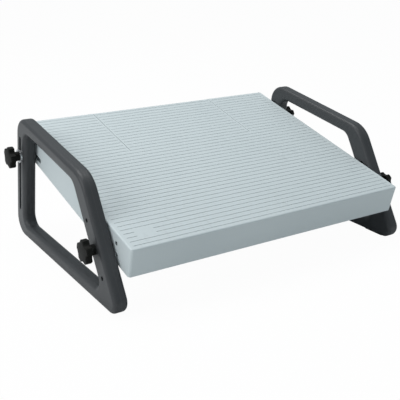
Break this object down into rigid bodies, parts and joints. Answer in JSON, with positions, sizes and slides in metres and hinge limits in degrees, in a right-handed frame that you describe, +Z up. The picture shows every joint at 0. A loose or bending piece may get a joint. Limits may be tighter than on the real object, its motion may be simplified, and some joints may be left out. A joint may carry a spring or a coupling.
{
  "type": "under desk footrest",
  "caption": "Tilting under desk footrest: grooved footboard tray on bolts and hand knobs between two loop-shaped side frames with tilt slots.",
  "frame": {"origin": "on the floor, midway between the side frames and midway between the front and the rear of the footrest", "axes": "+X to the sitter's right, along the tilt axis; +Y to the rear, the raised side of the footboard; +Z up"},
  "size_m": [0.5332, 0.3523, 0.1894],
  "materials": {
    "frame_plastic": "satin",
    "tray_plastic": "satin",
    "knob_plastic": "satin",
    "brass_insert": "machined",
    "bolt_steel": "zinc plated",
    "washer_steel": "bright zinc plated",
    "nylon": "matte",
    "rubber_pad": "matte"
  },
  "bodies": {
    "stand": {"left_side_frame": "frame_plastic", "foot_pad_front_left": "rubber_pad", "foot_pad_rear_left": "rubber_pad", "right_side_frame": "frame_plastic", "foot_pad_front_right": "rubber_pad", "foot_pad_rear_right": "rubber_pad"},
    "footboard": {"footboard_tray": "tray_plastic", "rear_panel": "tray_plastic", "front_bolt_left": "bolt_steel", "front_spacer_left": "nylon", "front_bolt_right": "bolt_steel", "front_spacer_right": "nylon"},
    "rear_bolt_left": {"rear_bolt_left": "bolt_steel", "inner_washer_left": "washer_steel", "rear_spacer_left": "nylon"},
    "front_washer_left": {"front_washer_left": "nylon"},
    "front_knob_left": {"front_knob_left": "knob_plastic", "front_knob_insert_left": "brass_insert"},
    "rear_washer_left": {"rear_washer_left": "washer_steel"},
    "rear_knob_left": {"rear_knob_left": "knob_plastic", "rear_knob_insert_left": "brass_insert"},
    "rear_bolt_right": {"rear_bolt_right": "bolt_steel", "inner_washer_right": "washer_steel", "rear_spacer_right": "nylon"},
    "front_washer_right": {"front_washer_right": "nylon"},
    "front_knob_right": {"front_knob_right": "knob_plastic", "front_knob_insert_right": "brass_insert"},
    "rear_washer_right": {"rear_washer_right": "washer_steel"},
    "rear_knob_right": {"rear_knob_right": "knob_plastic", "rear_knob_insert_right": "brass_insert"}
  },
  "joints": [
    {"name": "tilt", "type": "hinge", "parent": "stand", "child": "footboard", "pos_m": [0, -0.11917, 0.0747], "axis": [1, 0, 0], "range_deg": [-19.1, 5.7]},
    {"name": "rear_bolt_slide_left", "type": "slide", "parent": "stand", "child": "rear_bolt_left", "axis": [0, -0.1736, 0.9848], "range_m": [-0.0865, 0.0258]},
    {"name": "front_washer_slide_left", "type": "slide", "parent": "footboard", "child": "front_washer_left", "axis": [-1, 0, 0], "range_m": [0, 0.0025]},
    {"name": "front_knob_turn_left", "type": "hinge", "parent": "front_washer_left", "child": "front_knob_left", "pos_m": [-0.2464, -0.11917, 0.0747], "axis": [-1, 0, 0], "range_deg": [0, 720]},
    {"name": "rear_washer_slide_left", "type": "slide", "parent": "rear_bolt_left", "child": "rear_washer_left", "axis": [-1, 0, 0], "range_m": [0, 0.0025]},
    {"name": "rear_knob_turn_left", "type": "hinge", "parent": "rear_washer_left", "child": "rear_knob_left", "pos_m": [-0.2464, 0.12754, 0.13166], "axis": [-1, 0, 0], "range_deg": [0, 720]},
    {"name": "rear_bolt_slide_right", "type": "slide", "parent": "stand", "child": "rear_bolt_right", "axis": [0, -0.1736, 0.9848], "range_m": [-0.0865, 0.0258]},
    {"name": "front_washer_slide_right", "type": "slide", "parent": "footboard", "child": "front_washer_right", "axis": [1, 0, 0], "range_m": [0, 0.0025]},
    {"name": "front_knob_turn_right", "type": "hinge", "parent": "front_washer_right", "child": "front_knob_right", "pos_m": [0.2464, -0.11917, 0.0747], "axis": [1, 0, 0], "range_deg": [0, 720]},
    {"name": "rear_washer_slide_right", "type": "slide", "parent": "rear_bolt_right", "child": "rear_washer_right", "axis": [1, 0, 0], "range_m": [0, 0.0025]},
    {"name": "rear_knob_turn_right", "type": "hinge", "parent": "rear_washer_right", "child": "rear_knob_right", "pos_m": [0.2464, 0.12754, 0.13166], "axis": [1, 0, 0], "range_deg": [0, 720]}
  ],
  "couplings": [
    {"joint": "rear_bolt_slide_left", "follows": "tilt", "m_per_rad": 0.258},
    {"joint": "front_washer_slide_left", "follows": "front_knob_turn_left", "m_per_rad": 0.00015915},
    {"joint": "rear_washer_slide_left", "follows": "rear_knob_turn_left", "m_per_rad": 0.00015915},
    {"joint": "rear_bolt_slide_right", "follows": "tilt", "m_per_rad": 0.258},
    {"joint": "front_washer_slide_right", "follows": "front_knob_turn_right", "m_per_rad": 0.00015915},
    {"joint": "rear_washer_slide_right", "follows": "rear_knob_turn_right", "m_per_rad": 0.00015915}
  ]
}
